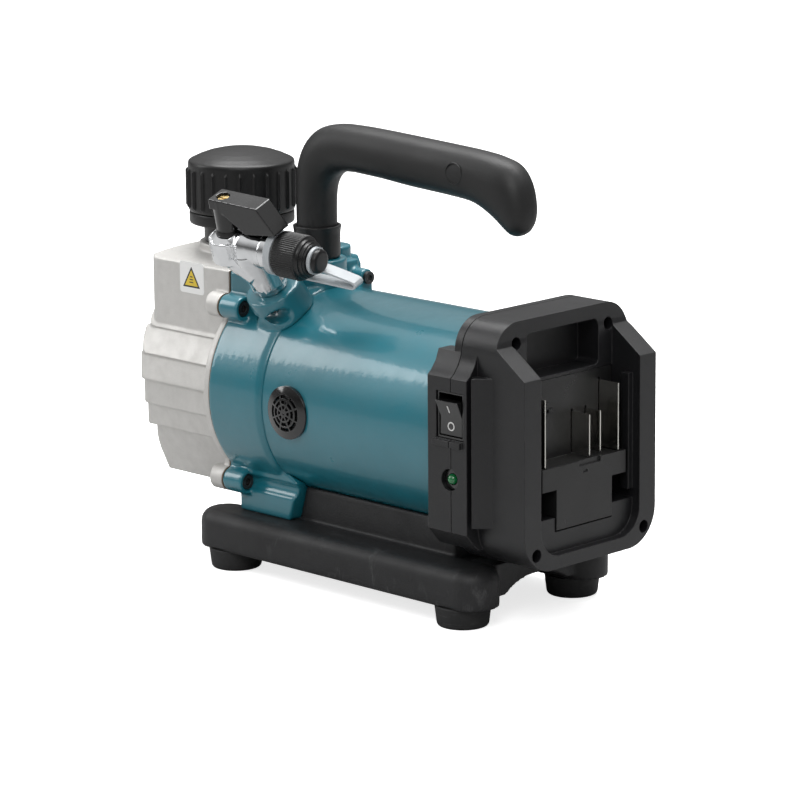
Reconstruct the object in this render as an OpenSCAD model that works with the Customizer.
// Cordless vacuum pump for air-conditioning work: an oil-filled rotary vane pump on a
// brushed motor, with a battery cradle at one end and an isolating valve on its inlet.
//
// Frame: +X runs along the motor from the oil case to the battery cradle, +Z is up, and
// -Y is the side with the switch and the inlet valve. The floor is z = 0.

/* [Overall] */
// Height of the motor and pump axis above the floor
axis_h = 95; // [94:0.5:96]
// Shift of the motor axis in Y that centres the whole outline on the origin
side_shift = 7.1; // [6:0.1:8]

/* [Base] */
// Distance of each rail's centre from the motor axis
rail_y = 41; // [40:0.5:42]
// Half the width of a rail
rail_half = 14; // [13:0.5:14]
// Height of the rails' top
rail_top = 31; // [30:0.5:32]
// Height of the rubber feet, and of the rails' underside
foot_h = 11; // [10:0.5:12]
// Radius of a foot where it meets the floor
foot_r = 13.3; // [12.5:0.1:13.5]
// Place of the rear pair of feet
foot_rear_x = -73.4; // [-75:0.1:-72]
// Place of the front pair of feet
foot_front_x = 93.3; // [92:0.1:95]

/* [Motor] */
// Outer radius of the motor barrel
barrel_r = 55; // [54.5:0.1:55.3]
// Wall of the motor barrel
barrel_wall = 3; // [2:0.5:3]
// Where the barrel leaves the pump housing
barrel_x0 = -37; // [-38:0.5:-36]
// Where the barrel ends inside the battery box
barrel_x1 = 97; // [96:0.5:98]
// Radius of the motor shaft
shaft_r = 5; // [4.5:0.1:5]
// Radial running clearance of the shaft in its bearings
run_gap = 0.05; // [0.02:0.01:0.08]

/* [Pump] */
// Face between the oil case and the pump housing
flange_x = -76; // [-77:0.5:-75]
// Radius of the round part of the housing
housing_r = 57; // [56.5:0.1:57.5]
// Rear end of the oil case
case_x = -143; // [-144:0.5:-142]
// Half the width of the oil case's upper box
case_half = 40; // [39:0.5:41]
// Height of the middle of the oil case's crowned top
case_top = 163.5; // [162:0.5:165]
// Wall of the oil case
case_wall = 3.5; // [3:0.5:4]
// Radius of the pump rotor
rotor_r = 20; // [19:0.5:20]
// Radius of the bore that the rotor turns in
bore_r = 23.5; // [23.3:0.1:23.6]

/* [Inlet valve] */
// Lean of the inlet boss from the vertical
boss_lean = 33; // [32:0.5:34]
// Place of the inlet boss along the motor
boss_x = -45; // [-46:0.5:-44]
// Distance of the boss's face from the motor axis
boss_face = 71; // [70:0.5:72]
// Turn of the valve about the vertical
valve_yaw = 9; // [7:0.5:11]
// Dip of the valve's side port below the horizontal
valve_dip = 4.3; // [3:0.1:6]
// Lean of the lever's axis
lever_lean = 19.3; // [18:0.1:21]

/* [Exhaust] */
// Radius of the exhaust cap's skirt
cap_r = 28.6; // [27:0.1:29]
// Number of grip ribs round the cap
cap_ribs = 24; // [18:2:30]
// Height of the exhaust cap's shoulder
cap_shoulder = 210; // [208:0.5:212]

/* [Handle] */
// Place of the handle's post along the motor
post_x = -50.9; // [-52:0.1:-50]
// Radius of the grip round the post
post_r = 10.5; // [10:0.1:11]
// Radius of the grip where the hand holds it
grip_r = 12.5; // [12:0.1:12.5]
// Radius of the handle's bend, to the middle of the bar
bend_r = 20; // [19:0.5:22]

/* [Battery box] */
// Half the width of the box
box_half = 48.85; // [48:0.05:49]
// Front face of the box
box_x1 = 143; // [142:0.5:144]
// Height of the box's underside
box_z0 = 34.6; // [34:0.1:35]
// Height of the box's top
box_z1 = 158.8; // [158:0.1:160]
// Plane where the two shells of the box meet
seam_x = 101; // [100:0.5:102]
// Half the width across the side panels
panel_half = 57; // [56.8:0.1:57.5]
// Half the width of the battery's way in
cradle_half = 36.7; // [36:0.1:37.5]

/* [Hidden] */
$fn = 96;
sides = [-1, 1];

// Base
rail_x0 = -80;
rail_x1 = 99.5;
rail_round = 7;
saddle_x0 = -34.5;
saddle_x1 = 80.4;
saddle_half = 33;
saddle_top = 49.5;
deck_half = rail_y - rail_half + 3;
foot_hole_r = 2;
base_bolt_x = -52;
base_bolt_y = 35;
foot_places = [for (x = [foot_rear_x, foot_front_x], y = [-rail_y, rail_y]) [x, y]];
bolt_places = [for (y = [-base_bolt_y, base_bolt_y]) [base_bolt_x, y]];

// Housing and oil case
screw_places = [for (y = sides) each [[y * 42.5, axis_h + 46], [y * 41.5, axis_h - 47.5]]];
lug_r = 6.6;
gasket_t = 0.6;
flange_t = 4;
case_face = flange_x - gasket_t;
// Heights of the cooling steps on the case's drum, with the half widths above and below each
step_rows = [
    [39, 28.8, 26.5, 41.8],
    [26.5, 39.6, 12.5, 47.8],
    [12.5, 45.6, -1.5, 49.2],
    [-1.5, 47, -15, 47.2],
    [-15, 45, -28, 41.2],
    [-28, 38.8, -56, 25.5],
];
crown_r = 175;
glass_z = axis_h - 17;
glass_r = 9.5;
drain_x = -112;
drain_y = 12;
drain_r = 4;
neck_x = (case_x + flange_x) / 2 + 1;
neck_z = 166.5;
cap_z0 = 183.4;
cap_rise = 7.2;
sphere_r = (cap_r * cap_r + cap_rise * cap_rise) / (2 * cap_rise);

// Inlet valve: the ball sits behind the stem, on the side port's own line
stem_top = 99.2;
ball_back = 12.1;
arm_dir = [cos(valve_yaw) * cos(valve_dip), sin(valve_yaw) * cos(valve_dip), -sin(valve_dip)];
stem_meet = [boss_x, -stem_top * sin(boss_lean), axis_h + stem_top * cos(boss_lean)];
ball_at = stem_meet - ball_back * arm_dir;
ball_r = 5.2;
way_r = 3;
lever_top = 27.5;
hub_z = 6.5;
nut_x0 = 33.2;
nut_x1 = 48.1;
nut_r = 12.05;

// Handle
bend_at = [post_x + bend_r, 205];
grip_fall = 2.86;
grip_len = 104;
core_r = 5;

// Battery box
panel_z0 = 52;
panel_z1 = 130.5;
wing_x0 = 85;
rim_x0 = 96;
step_x = 123.5;
plate_x = 124;
shelf_z = 59.4;
rocker_at = [100, 111.5];
rocker_half_x = 9.1;
rocker_half_z = 11.9;
rocker_pivot_y = -51.5;
led_at = [99.8, 78.8];
led_well_r = 5.6;
box_screw_top = [34, 147.7];
box_screw_low = [40, 44.2];
blade_y = 27.2;
blade_t = 0.8;
blade_rows = [[-blade_y, 85.4, 120, 137], [blade_y, 85.4, 120, 137],
              [6.7, 86, 107, 136], [17, 86, 107, 134]];

// Solenoid
sol_x = -59.8;
sol_y = 21.3;
sol_z0 = 145;
sol_r = 6.8;
lug_at = [24, 151.5];
sol_gap = 0.06;
plunger_r = 2.8;

// ---- shared shapes ----

module in_frame() translate([0, side_shift, 0]) children();

// A solid cylinder along X on a line at (y, z)
module bar_x(x0, x1, r, y = 0, z = axis_h)
    translate([x0, y, z]) rotate([0, 90, 0]) cylinder(h = x1 - x0, r = r);

module tube_x(x0, x1, ro, ri, y = 0, z = axis_h)
    difference() {
        bar_x(x0, x1, ro, y, z);
        bar_x(x0 - 1, x1 + 1, ri, y, z);
    }

module block(x0, x1, y0, y1, z0, z1)
    translate([x0, y0, z0]) cube([x1 - x0, y1 - y0, z1 - z0]);

// Carries a flat shape drawn in (Y, Z) along X
module slab_x(x0, x1) translate([x0, 0, 0]) rotate([90, 0, 90]) linear_extrude(x1 - x0) children();

// Carries a flat shape drawn in (X, Z) along Y
module slab_y(y0, y1) translate([0, y1, 0]) rotate([90, 0, 0]) linear_extrude(y1 - y0) children();

// A flat rectangle with rounded corners; the lower pair may have another radius
module soft_rect(x0, x1, y0, y1, r, low_r = undef) {
    q = is_undef(low_r) ? r : low_r;
    translate([x0 + r, y0 + q]) square([x1 - x0 - 2 * r, y1 - y0 - q]);
    translate([x0 + q, y0]) square([x1 - x0 - 2 * q, y1 - y0 - r]);
    translate([x0, y0 + q]) square([x1 - x0, y1 - y0 - q - r]);
    for (x = [x0 + r, x1 - r]) translate([x, y1 - r]) circle(r);
    for (x = [x0 + q, x1 - q]) translate([x, y0 + q]) circle(q);
}

// A cylinder between two points
module rod(p, q, r) {
    d = q - p;
    translate(p) rotate([0, acos(d.z / norm(d)), atan2(d.y, d.x)]) cylinder(h = norm(d), r = r);
}

// The boss's own axis: z runs out along it from the motor axis
module on_boss() translate([boss_x, 0, axis_h]) rotate([boss_lean, 0, 0]) children();

// The valve's own frame: x along the side port, z along the lever's axis, ball at the origin
module on_valve() translate(ball_at) rotate([lever_lean, valve_dip, valve_yaw]) children();

// A cylinder along the valve's side port
module port_bar(x0, x1, r) translate([x0, 0, 0]) rotate([0, 90, 0]) cylinder(h = x1 - x0, r = r);

// ---- base ----

module rail_edge() {
    square([rail_half - rail_round, rail_top - foot_h]);
    square([rail_half, rail_top - foot_h - rail_round]);
    translate([rail_half - rail_round, rail_top - foot_h - rail_round]) circle(rail_round);
}

module rail(y) {
    for (x = [rail_x0, rail_x1]) translate([x, y, foot_h]) rotate_extrude()
        intersection() {
            rail_edge();
            square([rail_half, rail_top]);
        }
    slab_x(rail_x0, rail_x1) for (side = [0, 1]) translate([y, foot_h]) mirror([side, 0]) rail_edge();
}

module base_frame() color("#3a3a3c") in_frame() difference() {
    union() {
        for (y = sides) rail(y * rail_y);
        block(-62, 92, -deck_half, deck_half, 24, rail_top - 1);
        block(saddle_x0, saddle_x1, -saddle_half, saddle_half, 24, saddle_top);
        block(90, 106, -deck_half, deck_half, 14, rail_top);
        block(-72, -61, -deck_half, deck_half, 19, rail_top - 1);
    }
    bar_x(saddle_x0 - 1, saddle_x1 + 1, barrel_r + 0.3);
    slab_y(-60, 60) polygon([[-75, 31.1], [-33.1, 31.1], [-27.1, 52], [-27.1, 70], [-75, 70]]);
    bar_x(89, 107, 40, 0, -19);
    block(saddle_x0 + 4, saddle_x1 - 4, -deck_half + 4, deck_half - 4, 0, 34);
    for (p = foot_places) translate([p.x, p.y, foot_h - 1]) cylinder(h = 13, r = foot_hole_r);
    for (p = bolt_places) translate([p.x, p.y, 0]) {
        cylinder(h = 60, r = 2.6);
        cylinder(h = 20, r = 5.2);
    }
}

module rubber_feet() color("#4b4b4d") in_frame() for (p = foot_places) translate(p)
    rotate_extrude() polygon([
        [6, 0], [foot_r - 0.8, 0], [foot_r, 1], [foot_r + 1.2, foot_h],
        [foot_hole_r + 0.3, foot_h], [foot_hole_r + 0.3, 6], [6, 6]]);

module base_screws() color("silver") in_frame() {
    for (p = foot_places) translate(p) {
        translate([0, 0, 3.2]) cylinder(h = 2.8, r = 4.2);
        translate([0, 0, 5]) cylinder(h = 17, r = foot_hole_r - 0.05);
    }
    for (p = bolt_places) translate([p.x, p.y, 0]) {
        translate([0, 0, 15]) cylinder(h = 5, r = 4.5);
        translate([0, 0, 19]) cylinder(h = 20, r = 2.45);
    }
}

// ---- pump housing and oil case ----

// Outline that the oil case and the housing share, drawn in (Y, Z)
module flange_shape() {
    translate([0, axis_h]) circle(housing_r - 0.8);
    intersection() {
        soft_rect(-case_half, case_half, axis_h, case_top + 2, 7);
        translate([0, case_top - crown_r]) circle(crown_r);
    }
    for (p = screw_places) translate(p) circle(lug_r);
    translate([-42, 41]) square([84, 30]);
}

module housing_foot() {
    difference() {
        slab_y(-case_half, case_half)
            polygon([[-71, rail_top + 0.2], [-33.5, rail_top + 0.2], [-27.5, 52], [-37.5, 60], [-71, 60]]);
        bar_x(barrel_x0, 0, barrel_r + 0.2);
    }
}

module inlet_boss() on_boss() translate([0, 0, 48]) cylinder(h = boss_face - 48, r1 = 16.5, r2 = 15);

// Turret on the far side of the top that holds the solenoid valve
module solenoid_turret() {
    translate([sol_x, sol_y, 128]) cylinder(h = 39, r = 8.8);
    block(-66, -47, 10, 27, 128, 160);
    bar_x(-50, -38, 4.6, lug_at[0], lug_at[1]);
    block(-52, -38, lug_at[0] - 4, lug_at[0] + 4, 136, lug_at[1]);
}

module pump_housing() color("#2f7685") in_frame() difference() {
    union() {
        slab_x(flange_x, flange_x + 6) flange_shape();
        bar_x(flange_x, barrel_x0 - 3, housing_r);
        translate([barrel_x0 - 3.1, 0, axis_h]) rotate([0, 90, 0])
            cylinder(h = 3.1, r1 = housing_r, r2 = barrel_r + 0.5);
        for (p = screw_places) bar_x(flange_x, flange_x + 14, lug_r, p[0], p[1]);
        intersection() {
            block(flange_x, -58, -case_half, case_half, axis_h, case_top);
            slab_x(flange_x, -58) translate([0, case_top - crown_r]) circle(crown_r);
            slab_y(-60, 60) polygon([[flange_x - 1, 90], [flange_x - 1, 170], [-66, 170], [-56, 150], [-56, 90]]);
        }
        translate([post_x, 0, 140]) cylinder(h = 24.4, r = 15.5);
        inlet_boss();
        housing_foot();
        solenoid_turret();
    }
    bar_x(barrel_x0, 30, barrel_r + 0.05);
    // Seats of the shaft seal and the front bearing, then the fan's chamber
    bar_x(flange_x - 1, -68, 10);
    bar_x(-70, -60, shaft_r + 1.5);
    bar_x(-66, -53, 13);
    bar_x(-54, barrel_x0 + 1, 50);
    // Way from the inlet boss through the drum's wall to the pump's face
    on_boss() translate([0, 0, 57]) cylinder(h = 20, r = 6.6);
    on_boss() translate([0, 0, 53.5]) cylinder(h = 5, r = 5.2);
    on_boss() translate([-4, 0, 53.5]) rotate([0, -90, 0]) cylinder(h = 40, r = 1.8);
    for (p = screw_places) {
        bar_x(flange_x - 1, 0, 2.2, p[0], p[1]);
        bar_x(flange_x + 9, 0, 4.4, p[0], p[1]);
    }
    for (p = bolt_places) translate([p.x, p.y, 25]) cylinder(h = 15, r = 2.5);
    translate([post_x, 0, 149]) cylinder(h = 20, r = core_r + 0.05);
    translate([sol_x, sol_y, sol_z0 - 0.2]) cylinder(h = 19.5, r = sol_r + 0.1);
    bar_x(-46.2, -37, 2, lug_at[0], lug_at[1]);
}

module housing_screws() color("silver") in_frame() {
    for (p = screw_places) difference() {
        union() {
            bar_x(flange_x + 9.2, flange_x + 13, 3.9, p[0], p[1]);
            bar_x(flange_x - 8, flange_x + 10, 2, p[0], p[1]);
        }
        bar_x(flange_x + 11, flange_x + 14, 2, p[0], p[1]);
    }
    difference() {
        union() {
            bar_x(-46, -37.9, 1.9, lug_at[0], lug_at[1]);
            bar_x(-37.9, -36, 3.4, lug_at[0], lug_at[1]);
        }
        bar_x(-37, -35, 1.7, lug_at[0], lug_at[1]);
    }
}

// One cooling step of the drum, with rounded rear corners
module case_step(row) intersection() {
    slab_x(case_x, case_face) polygon([
        [-row[1], axis_h + row[0]], [row[1], axis_h + row[0]],
        [row[3], axis_h + row[2]], [-row[3], axis_h + row[2]]]);
    linear_extrude(200) {
        half = max(row[1], row[3]);
        soft_rect(case_x, case_x + 60, -half, half, 9.5);
        translate([case_x + 30, -half]) square([50, 2 * half]);
    }
}

module case_upper() intersection() {
    slab_x(case_x + 1.5, case_face) soft_rect(-case_half, case_half, axis_h, case_top + 3, 8);
    slab_x(case_x, 0) translate([0, case_top - crown_r]) circle(crown_r);
    linear_extrude(200) {
        soft_rect(case_x + 1.5, case_x + 60, -case_half, case_half, 9);
        translate([case_x + 30, -case_half]) square([50, 2 * case_half]);
    }
    slab_y(-60, 60) {
        translate([case_x, 80]) square([8, 76]);
        translate([case_x + 8, 80]) square([90, 100]);
        translate([case_x + 9, case_top - 7.7]) circle(7.5);
    }
}

module oil_case() color("#cfcbc4") in_frame() difference() {
    union() {
        case_upper();
        for (row = step_rows) case_step(row);
        slab_x(case_face - flange_t, case_face) flange_shape();
        for (p = screw_places) bar_x(case_face - 10, case_face, lug_r, p[0], p[1]);
        translate([neck_x, 0, 150]) cylinder(h = neck_z - 150, r = 23);
        translate([drain_x, drain_y, 36.5]) cylinder(h = 10, r = 7);
    }
    difference() {
        union() {
            block(case_x + 5, case_face + 1, -case_half + case_wall, case_half - case_wall, axis_h, case_top - 6);
            bar_x(case_x + 4, case_face + 1, 44);
            block(case_x + 5, case_face - 6, -21, 21, 44, 75);
        }
        // Bosses that keep the cover screws' threads out of the oil
        for (p = screw_places) bar_x(case_face - 12, case_face, 5.4, p[0], p[1]);
    }
    for (p = screw_places) {
        bar_x(case_face - 9, case_face + 1, 2.05, p[0], p[1]);
        bar_x(case_face - 17, case_face - 9.5, 5.6, p[0] + sign(p[0]) * 1.5, p[1]);
    }
    translate([neck_x, 0, 140]) cylinder(h = 40, r = 15.05);
    bar_x(case_x - 1, case_x + 6, glass_r - 1.5, 0, glass_z);
    bar_x(case_x - 1, case_x + 3, glass_r + 3.6, 0, glass_z);
    translate([drain_x, drain_y, 30]) cylinder(h = 20, r = drain_r + 0.05);
}

module oil_case_gasket() color("#6b5a45") in_frame() difference() {
    slab_x(case_face, flange_x) flange_shape();
    bar_x(case_face - 1, flange_x + 1, 44);
    block(case_face - 1, flange_x + 1, -36, 36, axis_h, case_top - 6);
    for (p = screw_places) bar_x(case_face - 1, flange_x + 1, 2.2, p[0], p[1]);
}

module sight_glass() color("#d8e4dc", 0.5) in_frame()
    bar_x(case_x + 1.6, case_x + 3, glass_r, 0, glass_z);

module sight_glass_ring() color("silver") in_frame() difference() {
    bar_x(case_x + 0.2, case_x + 3, glass_r + 3.5, 0, glass_z);
    bar_x(case_x, case_x + 1.6, glass_r - 1.5, 0, glass_z);
    bar_x(case_x + 1.6, case_x + 4, glass_r, 0, glass_z);
}

module drain_plug() color("#b9b4a8") in_frame() translate([drain_x, drain_y, 0]) difference() {
    union() {
        translate([0, 0, 32.3]) cylinder(h = 3.1, r = 6);
        translate([0, 0, 35.3]) cylinder(h = 12, r = drain_r);
    }
    translate([0, 0, 31]) cylinder(h = 3.2, r = 2.9, $fn = 6);
}

module drain_seal() color("#222222") in_frame() translate([drain_x, drain_y, 35.5]) difference() {
    cylinder(h = 0.7, r = 5.9);
    translate([0, 0, -1]) cylinder(h = 3, r = drain_r + 0.05);
}

// ---- exhaust ----

module exhaust_neck() color("#222224") in_frame() translate([neck_x, 0, 0]) rotate_extrude() polygon([
    [11, 152], [15, 152], [15, neck_z], [20.4, neck_z], [20.4, 176.5], [28.2, 176.5], [28.2, 183],
    [22, 183], [22, 200], [11, 200]]);

module exhaust_cap() color("#29292b") in_frame() translate([neck_x, 0, 0]) difference() {
    union() {
        translate([0, 0, cap_z0]) cylinder(h = cap_shoulder - cap_z0, r = cap_r);
        intersection() {
            translate([0, 0, cap_shoulder - 1]) cylinder(h = 20, r = cap_r);
            translate([0, 0, cap_shoulder + cap_rise - sphere_r]) sphere(sphere_r);
        }
        for (i = [0 : cap_ribs - 1]) rotate([0, 0, i * 360 / cap_ribs])
            translate([cap_r - 1, -0.6, cap_z0 + 2]) cube([2.4, 1.2, cap_shoulder - cap_z0 - 7]);
    }
    translate([0, 0, cap_z0 - 1]) cylinder(h = 24.6, r = 24.4);
}

module exhaust_filter() color("#d9d2c0") in_frame() translate([neck_x, 0, 0]) {
    translate([0, 0, 166]) cylinder(h = 34.4, r = 10.6);
    translate([0, 0, 200.4]) cylinder(h = 6.2, r = 20);
}

module exhaust_seal() color("#3c3c3c") in_frame() translate([neck_x, 0, 183.3])
    rotate_extrude() translate([23.2, 0.9]) circle(0.85);

// ---- inlet valve ----

module inlet_valve_body() color("#d9dbdd") in_frame() difference() {
    union() {
        on_valve() {
            translate([0, 0, -8.3]) cylinder(h = 12.6, r = 11.6);
            intersection() {
                sphere(13.6);
                translate([0, 0, -14]) cylinder(h = 10, r = 11.6);
            }
            translate([0, 0, 4.2]) cylinder(h = 1.9, r1 = 11, r2 = 7.4);
            port_bar(0, 24.1, 9.5);
            port_bar(24, 28.4, 10.2);
            port_bar(28.3, 41, 7.9);
        }
        on_boss() {
            translate([0, 0, 58]) cylinder(h = boss_face - 57.7, r = 6.5);
            translate([0, 0, boss_face + 0.1]) cylinder(h = 3, r = 8.6);
            translate([0, 0, boss_face + 3]) cylinder(h = 6.5, r = 10.2, $fn = 6);
            translate([0, 0, boss_face + 3]) cylinder(h = stem_top - boss_face - 3, r1 = 9.3, r2 = 11.2);
            translate([0, 0, stem_top]) sphere(10.4);
        }
        rod(ball_at - [0, 0, 3], stem_meet - [0, -7.5, 13], 9.8);
    }
    on_valve() {
        port_bar(0, 42, way_r);
        translate([0, 0, 6.2]) cylinder(h = 8, r = 7.9);
        sphere(ball_r + 0.1);
        cylinder(h = 9, r = 3.06);
    }
    rod(ball_at - [0, 0, 3], stem_meet - [0, -8, 12.6], way_r - 0.3);
    on_boss() translate([0, 0, 57]) cylinder(h = 28, r = 4);
}

module valve_ball() color("#e8e4d8") in_frame() on_valve() difference() {
    sphere(ball_r);
    port_bar(0, 9, way_r);
    translate([0, 0, -9]) cylinder(h = 9, r = way_r - 0.4);
}

module valve_stem() color("#c8b070") in_frame() on_valve() difference() {
    translate([0, 0, ball_r - 0.3]) cylinder(h = 15.1, r = 3);
    translate([0, 0, 14]) cylinder(h = 8, r = 1.62);
    sphere(ball_r + 0.01);
}

module valve_lever() color("#18181a") in_frame() on_valve() difference() {
    union() {
        slab_y(-6.2, 6.2) difference() {
            polygon([[-5.5, lever_top], [25.5, lever_top], [35.5, 13.6], [15.5, 10.5], [-5.5, 26]]);
            translate([4.6, 12.6]) circle(4.2);
        }
        translate([0, 0, hub_z]) cylinder(h = 2.6, r1 = 7.5, r2 = 6.5);
        translate([0, 0, hub_z]) cylinder(h = lever_top - hub_z - 1, r = 6.3);
        slab_y(-6.2, 6.2) translate([-5.5, 22]) square([8, lever_top - 22]);
    }
    translate([0, 0, 24.4]) cylinder(h = 5, r = 3.5);
    translate([0, 0, 19]) cylinder(h = 9, r = 1.7);
    translate([0, 0, 5]) cylinder(h = 15.1, r = 3.02);
}

module lever_screw() color("#b8963e") in_frame() on_valve() difference() {
    union() {
        translate([0, 0, 24.42]) cylinder(h = 1.7, r = 3.1);
        translate([0, 0, 14.2]) cylinder(h = 10.3, r = 1.6);
    }
    translate([-4, -0.45, 25.3]) cube([8, 0.9, 2]);
}

module inlet_nut() color("#222224") in_frame() on_valve() difference() {
    union() {
        port_bar(nut_x0, nut_x1, nut_r);
        port_bar(nut_x1 - 0.1, nut_x1 + 2, 10.2);
        port_bar(nut_x1 + 1.9, nut_x1 + 4, 9.2);
        port_bar(nut_x1 + 3.9, nut_x1 + 5, 8.4);
    }
    port_bar(nut_x0 - 1, nut_x0 + 8.8, 8.2);
    port_bar(nut_x0 + 7.8, nut_x1 + 7, 6.7);
}

module inlet_plug() color("#151517") in_frame() on_valve() {
    port_bar(nut_x0 + 8.2, nut_x1 + 5.2, 6.4);
    port_bar(nut_x1 + 4.9, nut_x1 + 7.9, 3.8);
    port_bar(nut_x1 + 7.3, nut_x1 + 9.5, 6.45);
    port_bar(nut_x1 + 9.4, nut_x1 + 10.3, 5.6);
}

// The plug's strap: a ring behind the plug's head and a flat tongue folded back to the neck
module plug_strap() color("#e6e6e2") in_frame() on_valve() difference() {
    union() {
        port_bar(nut_x1 + 5.3, nut_x1 + 7.2, 7.2);
        slab_y(1.5, 8.5) polygon([
            [33.1, -14.4], [73.5, -14.4], [75.8, -13.2], [76.4, -11.6], [75.6, -10], [73.5, -9.2],
            [56, -6.2], [53.5, -6.2], [53.5, -7.2], [55.8, -7.3], [73, -10.4], [74.6, -11.2],
            [75.1, -11.9], [74.6, -12.6], [73.2, -13.2], [33.1, -13.2]]);
    }
    port_bar(nut_x1 + 4, nut_x1 + 9, 3.85);
}

module strap_ring() color("#e6e6e2") in_frame() on_valve() difference() {
    union() {
        port_bar(28.7, 32.8, 11.8);
        slab_y(1.5, 8.5) polygon([[28.7, -9], [32.8, -9], [32.8, -14.4], [30.5, -14.4], [28.7, -12.5]]);
    }
    port_bar(28, 34, 8);
}

module inlet_strainer() color("#c9c9c9") in_frame() on_boss() difference() {
    translate([0, 0, 53.6]) cylinder(h = 4, r = 5);
    translate([0, 0, 54.6]) cylinder(h = 4, r = 4.2);
    for (i = [0 : 5]) rotate([0, 0, i * 60]) translate([2.6, 0, 50]) cylinder(h = 8, r = 0.8);
}

// ---- handle ----

// The bar's path: up the post, round the bend and along the grip
module bar_path(r_post, r_bend, r_grip, foot_z, len) {
    translate([post_x, 0, foot_z]) cylinder(h = bend_at.y - foot_z + 0.5, r = r_post);
    translate([bend_at.x, 0, bend_at.y]) rotate([90, 0, 0]) rotate([0, 0, 90 - grip_fall])
        rotate_extrude(angle = 90 + grip_fall) translate([bend_r, 0]) circle(r_bend);
    translate([bend_at.x, 0, bend_at.y]) rotate([0, 90 + grip_fall, 0]) translate([-bend_r, 0, -0.5])
        cylinder(h = len, r = r_grip);
}

module grip_end() hull() {
    translate([77, 0, 219]) sphere(14, $fn = 32);
    translate([92, 0, 201.2]) sphere(8.2, $fn = 32);
}

module handle_core() color("silver") in_frame() bar_path(core_r, core_r + 0.05, core_r, 149.2, 90);

module handle_grip() color("#2b2b2d") in_frame() difference() {
    union() {
        bar_path(post_r, post_r + 0.9, grip_r, 166, grip_len);
        grip_end();
    }
    bar_path(core_r + 0.05, core_r + 0.1, core_r + 0.05, 149, 90.5);
}

module handle_collar() color("#303032") in_frame() translate([post_x, 0, 0]) difference() {
    union() {
        translate([0, 0, 164.6]) cylinder(h = 17, r = 12.3);
        translate([0, 0, 180]) cylinder(h = 2, r = 12.9);
    }
    translate([0, 0, 165.9]) cylinder(h = 20, r = post_r + 0.05);
    translate([0, 0, 160]) cylinder(h = 10, r = core_r + 0.1);
}

// ---- motor ----

module motor_housing() color("#2f7f92") in_frame() difference() {
    tube_x(barrel_x0 + 0.05, barrel_x1, barrel_r, barrel_r - barrel_wall);
    translate([-17.7, 0, 94.5]) rotate([90, 0, 0]) cylinder(h = 70, r = 11.6);
    block(86, barrel_x1 + 1, -60, -25, 64, 127);
}

module motor_yoke() color("#8a8c8e") in_frame() tube_x(-30, 56, barrel_r - barrel_wall - 0.1, 47);

module field_magnets() color("#4a4a4e") in_frame() difference() {
    tube_x(-22, 40, 46.9, 33);
    block(-30, 50, -60, 60, axis_h - 18, axis_h + 18);
}

module armature_core() color("#9a9c9e") in_frame() difference() {
    bar_x(-20, 38, 31.5);
    bar_x(-30, 48, shaft_r);
    for (i = [0 : 11]) translate([-30, 0, axis_h]) rotate([i * 30 + 15, 0, 0])
        translate([0, -1.6, 20]) cube([90, 3.2, 14]);
}

module armature_windings() color("#b5651d") in_frame() {
    tube_x(-30, -20.1, 28, 8);
    tube_x(38.1, 48, 28, 8);
    for (i = [0 : 11]) translate([-25, 0, axis_h]) rotate([i * 30 + 15, 0, 0])
        translate([0, -1.4, 20.4]) cube([68, 2.8, 7.4]);
}

module commutator() color("#c47a3a") in_frame() difference() {
    bar_x(50, 68, 13);
    bar_x(49, 69, shaft_r);
    for (i = [0 : 11]) translate([49, 0, axis_h]) rotate([i * 30, 0, 0])
        translate([0, -0.3, 10.5]) cube([20, 0.6, 4]);
}

module motor_shaft() color("#b8babd") in_frame() bar_x(-108.5, 89, shaft_r);

module cooling_fan() color("#3d3d40") in_frame() difference() {
    union() {
        bar_x(-51, -41, 11);
        bar_x(-43, -41, 44);
        for (i = [0 : 10]) translate([-51, 0, axis_h]) rotate([i * 360 / 11, 0, 0])
            translate([0, -0.8, 8]) cube([9, 1.6, 34]);
    }
    bar_x(-60, -30, shaft_r);
}

module front_bearing() color("#a9abae") in_frame() tube_x(-65.9, -58, 12.98, shaft_r + run_gap);

module rear_bearing() color("#a9abae") in_frame() tube_x(80.1, 88, 10.98, shaft_r + run_gap);

module shaft_seal() color("#5a3a2a") in_frame() tube_x(-75.9, -68.1, 9.98, shaft_r + run_gap);

module end_bell() color("#55565a") in_frame() difference() {
    union() {
        bar_x(77, 82, barrel_r - barrel_wall - 0.1);
        bar_x(77, 90, 16);
        for (y = sides) block(53, 78, min(y * 16, y * 34), max(y * 16, y * 34), axis_h - 6, axis_h + 6);
    }
    bar_x(80, 91, 11);
    bar_x(70, 81, shaft_r + 1.5);
    for (i = [0 : 5]) translate([70, 0, axis_h]) rotate([i * 60 + 30, 0, 0])
        translate([0, 0, 34]) rotate([0, 90, 0]) cylinder(h = 20, r = 8);
    block(55, 65, -60, 60, axis_h - 3.1, axis_h + 3.1);
}

module carbon_brushes() color("#2e2e30") in_frame() for (y = sides)
    block(55.1, 64.9, min(y * 13.3, y * 30), max(y * 13.3, y * 30), axis_h - 3, axis_h + 3);

// ---- vane pump ----

module pump_cylinder() color("#8f8f8c") in_frame() difference() {
    bar_x(-104, flange_x - 0.05, 34, 0, axis_h - 2);
    bar_x(-110, 0, bore_r, 0, axis_h - (bore_r - rotor_r) + 0.1);
    block(-110, 0, -20, 20, 125, 140);
    translate([-90, -9, 105]) cylinder(h = 30, r = 2.5);
    translate([-90, 18, 95]) rotate([boss_lean, 90, 0]) cylinder(h = 20, r = 1.8);
}

module pump_rotor() color("#b0b2b4") in_frame() difference() {
    bar_x(-103.8, flange_x - 0.2, rotor_r);
    bar_x(-110, 0, shaft_r);
    block(-110, 0, -30, -8, axis_h - 2.05, axis_h + 2.05);
    block(-110, 0, 8, 30, axis_h - 2.05, axis_h + 2.05);
}

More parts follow.
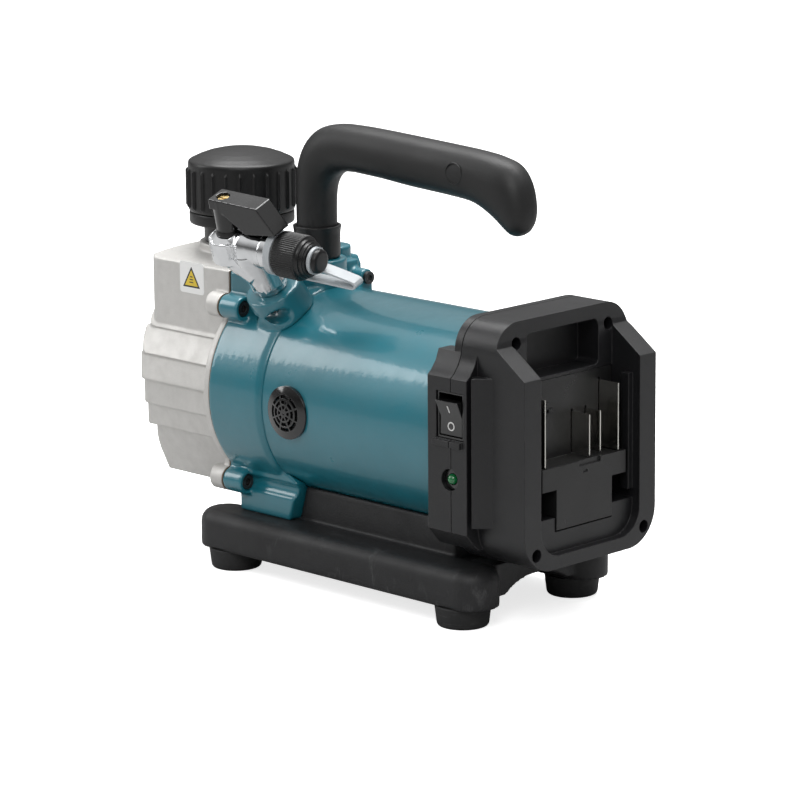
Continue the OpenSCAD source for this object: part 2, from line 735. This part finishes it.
module pump_vanes() color("#6a4f35") in_frame() for (y = sides)
    block(-103.7, flange_x - 0.3, min(y * 8.3, y * 19.9), max(y * 8.3, y * 19.9), axis_h - 2, axis_h + 2);

module pump_end_plate() color("#9a9a98") in_frame() difference() {
    bar_x(-109, -104.1, 34, 0, axis_h - 2);
    bar_x(-110, -100, shaft_r + run_gap);
    for (i = [0 : 3]) translate([-110, 0, axis_h - 2]) rotate([i * 90 + 45, 0, 0])
        translate([0, 0, 29.5]) rotate([0, 90, 0]) cylinder(h = 3, r = 3);
}

module discharge_valve() color("#c0c4c8") in_frame() {
    block(-98, -82, -13, -5, 125.02, 125.5);
    block(-98, -93, -13, -5, 125.5, 128);
    block(-98, -82, -13, -5, 127, 128);
}

module vent_grille() color("#141416") in_frame() translate([-17.7, 0, 94.5]) rotate([90, 0, 0]) difference() {
    union() {
        translate([0, 0, 49]) cylinder(h = 7.4, r = 11.5);
        intersection() {
            translate([0, 0, 54]) cylinder(h = 5, r = 14);
            translate([0, 0, 58.4 - 42]) sphere(42);
        }
    }
    translate([-20, 0.5, 0]) rotate([0, 90, 0]) cylinder(h = 40, r = barrel_r + 0.05);
    for (ring = [[9.6, 7.8], [6.8, 5], [4, 2.2]]) difference() {
        cylinder(h = 70, r = ring[0]);
        cylinder(h = 70, r = ring[1]);
        for (i = [0 : 3]) rotate([0, 0, i * 45 + 22.5]) translate([-20, -0.45, 0]) cube([40, 0.9, 80]);
    }
    translate([0, 0, 20]) cylinder(h = 36, r = 9.8);
}

// ---- battery box ----

module box_shape(inset = 0)
    soft_rect(-box_half + inset, box_half - inset, box_z0 + inset, box_z1 - inset, 16 - inset, 20 - inset);

// Side bulges that cover the barrel, drawn in (Y, Z)
module wing_shape() for (side = [0, 1]) mirror([side, 0]) polygon([
    [-panel_half, panel_z0], [-panel_half, panel_z1], [-54.4, 132.6], [-51.2, 136.8], [-box_half, 142.5], [-40, 142.5],
    [-40, 43], [-box_half, 43]]);

module panel_cuts() {
    translate([rocker_at[0] - rocker_half_x - 0.1, -70, rocker_at[1] - rocker_half_z - 0.1])
        cube([2 * rocker_half_x + 0.2, 30, 2 * rocker_half_z + 0.2]);
    translate([led_at[0], -40, led_at[1]]) rotate([90, 0, 0]) cylinder(h = 30, r = led_well_r);
}

module screw_lines(r, x0, x1) for (y = sides, p = [box_screw_top, box_screw_low])
    bar_x(x0, x1, r, y * p[0], p[1]);

module battery_box_rear() color("#2d2d30") in_frame() difference() {
    union() {
        slab_x(rim_x0, seam_x) box_shape();
        slab_x(wing_x0, seam_x) wing_shape();
        block(89, seam_x, -58.6, -50, 95.6, 98.8);
    }
    // Groove that marks the seam
    slab_x(seam_x - 0.4, seam_x + 1) difference() {
        translate([-80, 0]) square([160, 200]);
        box_shape(0.9);
        translate([-panel_half + 0.9, 45]) square([2 * panel_half - 1.8, 84]);
    }
    bar_x(wing_x0 - 1, barrel_x1 + 0.3, barrel_r + 0.15);
    slab_x(barrel_x1 + 0.2, seam_x + 1) difference() {
        union() {
            box_shape(3);
            translate([-panel_half + 2, 56]) square([2 * panel_half - 4, 70]);
        }
        for (y = sides, p = [box_screw_top, box_screw_low]) translate([y * p[0], p[1]]) circle(5.5);
    }
    panel_cuts();
    screw_lines(1.6, 80, 120);
}

module front_profile() polygon([
    [seam_x, 30], [box_x1, 30], [box_x1, 133.3], [plate_x, 147], [step_x, 150], [step_x, 170], [seam_x, 170]]);

module cradle_cut() {
    block(plate_x, box_x1 + 1, -cradle_half, cradle_half, shelf_z, 170);
    slab_x(138, box_x1 + 1) soft_rect(-cradle_half, cradle_half, 41.5, 90, 14);
    block(119, box_x1 + 1, -21.2, 21.2, 52, 62);
    block(117, plate_x + 1, -cradle_half, cradle_half, shelf_z, 126.2);
    slab_x(110, step_x + 2) soft_rect(-26.5, 26.5, 128, 151.5, 3);
}

module battery_box_front() color("#2f2f32") in_frame() difference() {
    union() {
        difference() {
            union() {
                intersection() {
                    slab_x(seam_x, box_x1) box_shape();
                    slab_y(-60, 60) front_profile();
                }
                slab_x(seam_x, 111.5) wing_shape();
                block(seam_x, 108, -58.6, -50, 95.6, 98.8);
                for (side = [0, 1]) mirror([0, side, 0]) translate([0, 0, 56]) linear_extrude(76)
                    polygon([[108, -40], [108, -52.5], [114, -52.5], [114, -56.2], [121.5, -box_half], [121.5, -40]]);
            }
            cradle_cut();
        }
        // Rails that the battery's own rails slide behind
        for (y = sides) block(133, 138, min(y * 33.6, y * 37), max(y * 33.6, y * 37), 64, 124);
    }
    slab_x(seam_x - 1, 109) difference() {
        union() {
            box_shape(3);
            translate([-panel_half + 2, 56]) square([2 * panel_half - 4, 70]);
        }
        for (y = sides, p = [box_screw_top, box_screw_low]) translate([y * p[0], p[1]]) circle(5.5);
    }
    block(108, 118, -34, 34, 62, 124);
    panel_cuts();
    screw_lines(1.9, 90, 145);
    screw_lines(3.3, 109.5, 145);
}

module box_screws() color("#1d1d1f") in_frame() difference() {
    union() {
        screw_lines(3.1, 109.6, 112.4);
        screw_lines(1.55, 98, 110);
    }
    screw_lines(1.2, 111.2, 114);
}

module blade_set(gap) for (b = blade_rows)
    block(112 - gap, b[3] + gap, b[0] - blade_t / 2 - gap, b[0] + blade_t / 2 + gap, b[1] - gap, b[2] + gap);

module terminal_block() color("#333337") in_frame() difference() {
    union() {
        block(118.5, plate_x - 0.1, -36.3, 36.3, shelf_z + 0.3, 126);
        block(123, 138.6, -31, 31, 73.6, 85.2);
        block(120, 138.6, -20.6, 20.6, 52.8, 74);
    }
    for (b = blade_rows) block(110, plate_x + 1, b[0] - blade_t, b[0] + blade_t, b[1] - 0.3, b[2] + 1.2);
    for (y = [-blade_y, blade_y]) block(120, 137.4, y - 0.9, y + 0.9, 83.4, 90);
    block(137.4, 139, -4, 12, 82.6, 86);
    block(137.9, 139, -1.2, 2.4, 79, 80.4);
}

module terminal_blades() color("#c9c4b4") in_frame() blade_set(0);

// ---- switch and lamp ----

module rocker_frame() color("#1b1b1d") in_frame() difference() {
    block(rocker_at[0] - rocker_half_x, rocker_at[0] + rocker_half_x, -56.2, -42,
          rocker_at[1] - rocker_half_z, rocker_at[1] + rocker_half_z);
    block(rocker_at[0] - 7.9, rocker_at[0] + 7.9, -60, -43.4, rocker_at[1] - 10.8, rocker_at[1] + 10.8);
}

module rocker_button() color("#26262a") in_frame()
    translate([0, rocker_pivot_y, rocker_at[1]]) rotate([12, 0, 0])
        slab_x(rocker_at[0] - 7.5, rocker_at[0] + 7.5)
            polygon([[-6.5, -9.2], [-4.4, 0], [-6.5, 9.2], [-1, 8.2], [3.4, 3], [3.4, -3], [-1, -8.2]]);

module led_lens() color("#1f7a3d") in_frame() translate([led_at[0], -47, led_at[1]]) rotate([90, 0, 0]) {
    cylinder(h = 7.3, r = 2.8);
    translate([0, 0, 7.3]) sphere(2.79);
}

module led_holder() color("#1b1b1d") in_frame() translate([led_at[0], -46, led_at[1]]) rotate([90, 0, 0])
    difference() {
        cylinder(h = 8.6, r = led_well_r - 0.1);
        translate([0, 0, 0.9]) cylinder(h = 12, r = 2.9);
    }

module control_board() color("#23603a") in_frame() {
    block(110, 111.6, -30, 30, 64, 122);
    block(103, 110.1, -24, -8, 70, 88);
    block(103, 110.1, 4, 20, 92, 112);
}

// ---- inlet solenoid ----

module solenoid_body() color("#7d4a2e") in_frame() translate([sol_x, sol_y, sol_z0]) difference() {
    cylinder(h = 19, r = sol_r);
    translate([0, 0, 3]) cylinder(h = 15, r = plunger_r + sol_gap);
}

module solenoid_plunger() color("#a5a7aa") in_frame() translate([sol_x, sol_y, sol_z0 + 3.05])
    cylinder(h = 8.5, r = plunger_r);

module plunger_spring() color("#c0c0c0") in_frame() translate([sol_x, sol_y, sol_z0 + 11.6]) difference() {
    cylinder(h = 6.3, r = 2.6);
    translate([0, 0, -1]) cylinder(h = 9, r = 1.9);
}

base_frame();
rubber_feet();
base_screws();
pump_housing();
housing_screws();
oil_case();
oil_case_gasket();
sight_glass();
sight_glass_ring();
drain_plug();
drain_seal();
exhaust_neck();
exhaust_cap();
exhaust_filter();
exhaust_seal();
inlet_valve_body();
valve_ball();
valve_stem();
valve_lever();
lever_screw();
inlet_nut();
inlet_plug();
plug_strap();
strap_ring();
inlet_strainer();
handle_core();
handle_grip();
handle_collar();
motor_housing();
motor_yoke();
field_magnets();
end_bell();
carbon_brushes();
armature_core();
armature_windings();
commutator();
motor_shaft();
cooling_fan();
front_bearing();
rear_bearing();
shaft_seal();
pump_cylinder();
pump_rotor();
pump_vanes();
pump_end_plate();
discharge_valve();
vent_grille();
battery_box_rear();
battery_box_front();
box_screws();
terminal_block();
terminal_blades();
rocker_frame();
rocker_button();
led_lens();
led_holder();
control_board();
solenoid_body();
solenoid_plunger();
plunger_spring();
